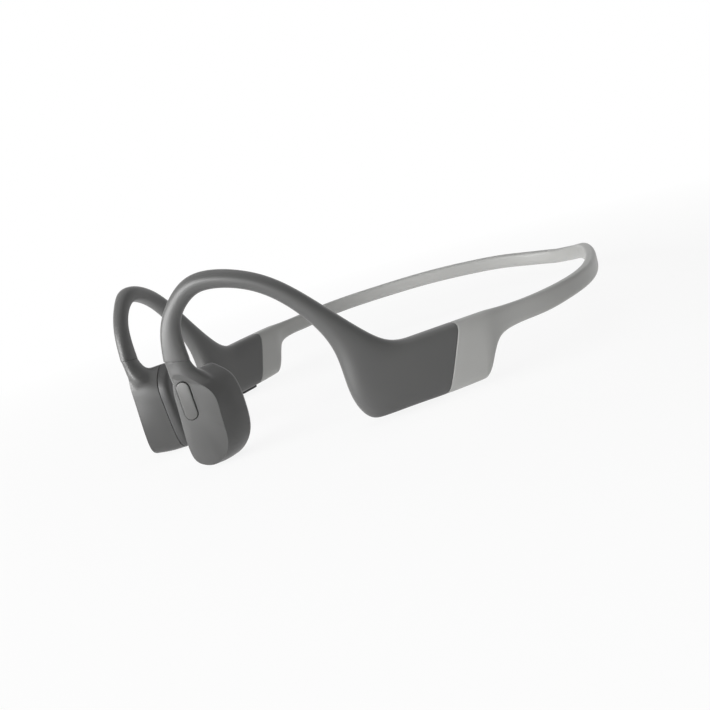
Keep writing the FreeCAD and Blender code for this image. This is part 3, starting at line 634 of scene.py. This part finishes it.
def stadium(length, half, low, high):
    """A round-ended bar on the button's axis, from one depth of the head to another."""
    bm = bmesh.new()
    bmesh.ops.create_circle(bm, cap_ends=True, segments=FINE_ROUND, radius=half)
    for v in bm.verts:
        v.co.y += (length / 2 - half) * (1 if v.co.y > 0 else -1)
    top = bmesh.ops.extrude_face_region(bm, geom=list(bm.faces))
    lifted = [g for g in top["geom"] if isinstance(g, bmesh.types.BMVert)]
    bmesh.ops.translate(bm, vec=(0, 0, high - low), verts=lifted)
    for v in bm.verts:
        v.co = head_place(BUTTON_T + v.co.x, low + v.co.z, BUTTON_Z + v.co.y)
    bmesh.ops.recalc_face_normals(bm, faces=bm.faces)
    return bm


BUTTON_WELL = 1.7
BUTTON_BACK = 1.3
BUTTON_EDGE = 0.28


def make_head(side, name, body, button):
    bm = blended_head()
    back, depth = SEAM_N - 0.5, FACET_N - 1.0 - SEAM_N + 0.5
    room = skin([head_ring(back + depth * i / 6, SHELL_WALL) for i in range(7)], FINE_ROUND)
    bm = cut_away(bm, room)
    if button:
        well = stadium(BUTTON_LENGTH + 2 * BUTTON_GAP, BUTTON_HALF + BUTTON_GAP,
                       FACET_N - BUTTON_WELL, FACET_N + 1)
        bm = cut_away(bm, well)
    to_row(bm, side)
    return finish_piece(bm, name + "_head", DARK_SHELL, body, [name + "_head_shell"])


def make_pad(side, name, body):
    # Depths and insets from the seam's groove over the rounded edge to the flat face.
    profile = [(SEAM_N, 0.28), (SEAM_N - 0.1, 0.08), (SEAM_N - 0.35, 0.0), (SEAM_N - 1.0, 0.0),
               (SEAM_N - 1.8, 0.1), (SEAM_N - 2.5, 0.4), (SEAM_N - 3.0, 0.95), (SEAM_N - 3.3, 1.8),
               (PAD_N, 2.9), (PAD_N, 4.2)]
    rings = [pad_ring(n, inset) for n, inset in profile]
    bm = skin(rings)
    cap_rings(bm, 0.6, 1)
    to_row(bm, side)
    return finish_piece(bm, name + "_pad", PAD_SILICONE, body, [name + "_contact_pad"], levels=2)


def pad_ring(n, inset):
    def place(turn):
        reach = PAD_LOOP(turn) - PAD_MIDDLE
        point = PAD_MIDDLE + reach * (1 - inset / np.linalg.norm(reach))
        return head_place(point[0], n, point[1])
    return place


def make_button():
    bm = stadium(BUTTON_LENGTH, BUTTON_HALF, FACET_N - BUTTON_BACK, FACET_N + BUTTON_PROUD)
    outward = head_place(0, 1, 0) - head_place(0, 0, 0)
    front = head_place(0, FACET_N + BUTTON_PROUD, 0)
    rim = [e for e in bm.edges if all(abs((v.co - front).dot(outward)) < 1e-3 for v in e.verts)]
    bmesh.ops.bevel(bm, geom=rim, offset=BUTTON_EDGE, offset_type="OFFSET", segments=4, profile=0.5,
                    affect="EDGES", material=-1)
    to_row(bm)
    return finish_piece(bm, "button_cap", BUTTON_PLASTIC, "multifunction_button", ["multifunction_button"])


# ---- carried-over inner and small pieces
def dress_nodes():
    finishes = {
        "earhook_wire": SPRING_WIRE, "earhook_cable": CABLE_JACKET, "housing_frame": FRAME_PLASTIC,
        "housing_lid": FRAME_PLASTIC, "transducer_frame": FRAME_PLASTIC, "voice_coil": COPPER,
        "pole_plate": SOFT_IRON, "magnet": NICKEL, "yoke": SOFT_IRON, "vibration_plate": SPRING_STEEL,
        "earhook_cover": DARK_SILICONE, "head_shell": DARK_SHELL, "contact_pad": PAD_SILICONE,
    }
    single = {
        "neckband_cover": LIGHT_SILICONE, "neckband_wire": SPRING_WIRE, "neckband_cable": CABLE_JACKET,
        "multifunction_button": BUTTON_PLASTIC, "button_switch": FRAME_PLASTIC, "button_board": LAMINATE,
        "microphone": TINNED_STEEL, "battery": POUCH_FOIL, "battery_protection_board": LAMINATE,
        "main_board": LAMINATE, "radio_shield": TINNED_STEEL, "volume_switches": TINNED_STEEL,
        "volume_up_button": KEY_RUBBER, "volume_down_button": KEY_RUBBER, "charge_contacts": GOLD,
        "charge_magnets": NICKEL, "status_light_window": FROSTED,
    }
    for name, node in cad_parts.items():
        kind = name.replace("left_", "").replace("right_", "")
        material = single[name] if name in single else finishes[kind]
        node.data.materials.clear()
        node.data.materials.append(material)


# ---- studio
def seen_directly(tree):
    """1 for rays that show a surface as it is: to the camera, in a reflection or through glass."""
    path = tree.nodes.new("ShaderNodeLightPath")
    total = path.outputs["Is Camera Ray"]
    for kind in ("Is Glossy Ray", "Is Transmission Ray"):
        either = tree.nodes.new("ShaderNodeMath")
        either.operation = "MAXIMUM"
        tree.links.new(total, either.inputs[0])
        tree.links.new(path.outputs[kind], either.inputs[1])
        total = either.outputs[0]
    return total


FLOOR_RADIUS = 3.0
# The floor shows its own shading near the object, and plain white from this far out, in metres.
FADE_START, FADE_END = 0.12, 0.4
NEAR_WHITE = 0.88


def make_floor():
    """A white floor that takes a soft shadow near the object and fades into the white room."""
    bm = bmesh.new()
    bmesh.ops.create_circle(bm, cap_ends=True, segments=96, radius=FLOOR_RADIUS)
    mesh = bpy.data.meshes.new("floor")
    bm.to_mesh(mesh)
    bm.free()
    floor = bpy.data.objects.new("floor", mesh)
    bpy.context.scene.collection.objects.link(floor)
    material = bpy.data.materials.new("pale_floor")
    material.use_nodes = True
    nodes, links = material.node_tree.nodes, material.node_tree.links
    shader = nodes["Principled BSDF"]
    shader.inputs["Base Color"].default_value = colour("#f4f4f4")
    shader.inputs["Roughness"].default_value = 0.9
    shader.inputs["Specular IOR Level"].default_value = 0.0
    glow = add_node(material, "ShaderNodeEmission", {"Color": (1, 1, 1, 1), "Strength": 1.0})
    place = add_node(material, "ShaderNodeTexCoord")
    reach = add_node(material, "ShaderNodeVectorMath", operation="LENGTH")
    fade = add_node(material, "ShaderNodeMapRange",
                    {"From Min": FADE_START, "From Max": FADE_END, "To Min": NEAR_WHITE, "To Max": 1.0})
    share = add_node(material, "ShaderNodeMath", operation="MULTIPLY")
    mix = add_node(material, "ShaderNodeMixShader")
    links.new(place.outputs["Object"], reach.inputs[0])
    links.new(reach.outputs["Value"], fade.inputs["Value"])
    links.new(fade.outputs["Result"], share.inputs[0])
    links.new(seen_directly(material.node_tree), share.inputs[1])
    links.new(share.outputs[0], mix.inputs[0])
    links.new(shader.outputs[0], mix.inputs[1])
    links.new(glow.outputs[0], mix.inputs[2])
    links.new(mix.outputs[0], nodes["Material Output"].inputs["Surface"])
    mesh.materials.append(material)


def make_world(strength):
    world = bpy.data.worlds.new("white_room")
    bpy.context.scene.world = world
    world.use_nodes = True
    nodes, links = world.node_tree.nodes, world.node_tree.links
    room = nodes["Background"]
    room.inputs["Color"].default_value = (1, 1, 1, 1)
    room.inputs["Strength"].default_value = strength
    seen = nodes.new("ShaderNodeBackground")
    seen.inputs["Color"].default_value = (1, 1, 1, 1)
    mix = nodes.new("ShaderNodeMixShader")
    links.new(seen_directly(world.node_tree), mix.inputs[0])
    links.new(room.outputs[0], mix.inputs[1])
    links.new(seen.outputs[0], mix.inputs[2])
    links.new(mix.outputs[0], nodes["World Output"].inputs["Surface"])


def add_softbox(name, place, aim, width, height, power, in_reflections=True, in_diffuse=True):
    lamp = bpy.data.lights.new(name, "AREA")
    lamp.shape = "RECTANGLE"
    lamp.size, lamp.size_y = width, height
    lamp.energy = power
    box = bpy.data.objects.new(name, lamp)
    bpy.context.scene.collection.objects.link(box)
    box.visible_camera = False
    box.visible_glossy = in_reflections
    box.visible_diffuse = in_diffuse
    box.location = place
    box.rotation_euler = (Vector(aim) - Vector(place)).to_track_quat("-Z", "Y").to_euler()


# ---- camera
CAMERA_PLACE = (0.247717, -0.178104, 0.064947)
CAMERA_AZIMUTH = radians(57.302)
CAMERA_ELEVATION = radians(10.741)
CAMERA_ROLL = radians(-16.913)
# The lens, as its focal length against the side of the frame.
FOCAL_LENGTH = 850.0
FRAME_SIDE = 710.0


def add_camera():
    data = bpy.data.cameras.new("camera")
    camera = bpy.data.objects.new("camera", data)
    bpy.context.scene.collection.objects.link(camera)
    bpy.context.scene.camera = camera
    az, el, roll = CAMERA_AZIMUTH, CAMERA_ELEVATION, CAMERA_ROLL
    ahead = Vector((-sin(az) * cos(el), cos(az) * cos(el), -sin(el)))
    right = Vector((cos(az), sin(az), 0.0))
    up = right.cross(ahead)
    level_right = right * cos(roll) + up * sin(roll)
    level_up = up * cos(roll) - right * sin(roll)
    turn = Matrix((level_right, level_up, -ahead)).transposed()
    camera.matrix_world = Matrix.Translation(CAMERA_PLACE) @ turn.to_4x4()
    data.sensor_width = 36.0
    data.lens = data.sensor_width * FOCAL_LENGTH / FRAME_SIDE
    data.clip_start, data.clip_end = 0.01, 20.0


# Lamps are given as place, aim, width, height and watts. The reflector shows in gloss only.
add_camera()
make_floor()
make_world(0.13)
add_softbox("front_softbox", (-0.05, -0.8, 0.12), (0.0, -0.05, 0.02), 0.8, 0.4, 14.0)
add_softbox("overhead_softbox", (0.0, 0.1, 0.9), (0.0, 0.0, 0.0), 1.0, 1.0, 2.8)
add_softbox("bounce_board", (0.0, -0.05, 0.0002), (0.0, -0.05, 1.0), 0.8, 0.8, 1.2, in_reflections=False)
add_softbox("reflector", (0.33, -0.78, 0.1), (0.02, -0.09, 0.02), 0.5, 0.5, 4.5, in_diffuse=False)

dress_nodes()
for SIDE_SIGN, SIDE_NAME in ((LEFT, "left"), (RIGHT, "right")):
    make_ear_hook(SIDE_SIGN, SIDE_NAME, "headset")
    make_head(SIDE_SIGN, SIDE_NAME, "headset", SIDE_SIGN == LEFT)
    make_pad(SIDE_SIGN, SIDE_NAME, "headset")
make_neckband()
make_button()

bpy.context.scene.view_settings.view_transform = "Standard"
